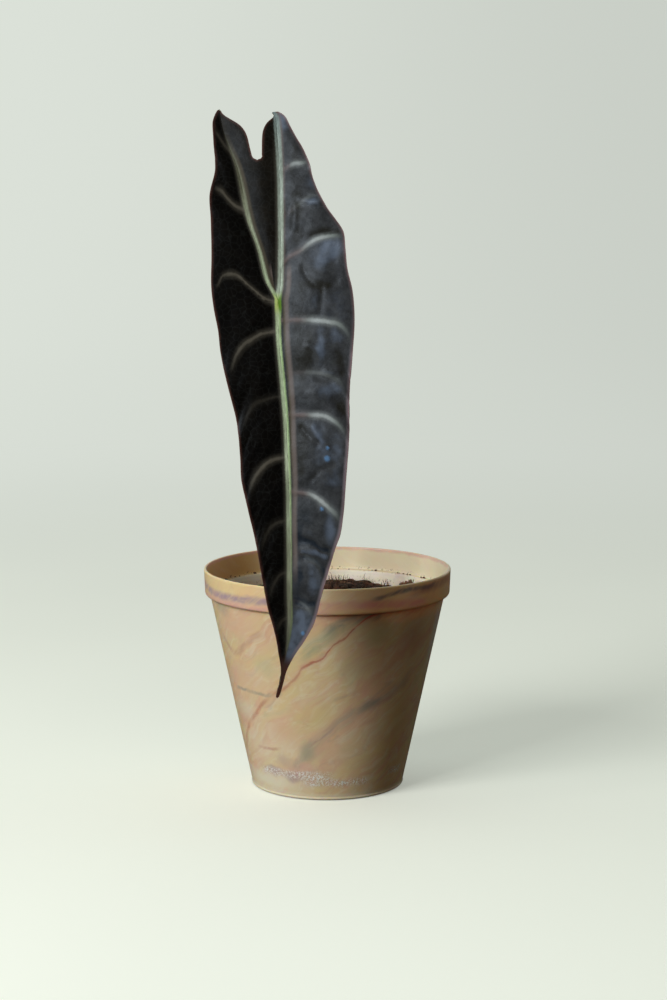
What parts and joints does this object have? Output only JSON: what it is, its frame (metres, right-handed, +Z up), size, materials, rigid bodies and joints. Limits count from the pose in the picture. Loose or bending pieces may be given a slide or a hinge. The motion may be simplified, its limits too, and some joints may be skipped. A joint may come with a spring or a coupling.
{
  "type": "potted alocasia longiloba",
  "caption": "Young aroid house plant with a long dark arrow-shaped leaf on an arching stalk, in a thin marbled plastic pot filled with potting mix.",
  "frame": {"origin": "middle of the pot's underside", "axes": "+Z up along the pot's axis; -Y is the front, to which the leaf hangs; +X is the viewer's right"},
  "size_m": [0.13, 0.1676, 0.352],
  "materials": {
    "marbled_plastic": "marbled cream, salmon, mauve and blue-green moulded plastic",
    "potting_mix": "damp dark mix of bark, coconut fibre and peat",
    "husk": "rough fibrous husk",
    "rhizome_skin": "dull ringed bark",
    "stalk_skin": "smooth waxy green stalk, mottled brown",
    "leaf_skin": "satin, near-black with pale grey-green veins"
  },
  "bodies": {
    "root": {"pot": "marbled_plastic", "potting_mix": "potting_mix", "husk_chip": "husk", "rhizome": "rhizome_skin", "petiole": "stalk_skin", "leaf_blade": "leaf_skin"}
  },
  "joints": []
}
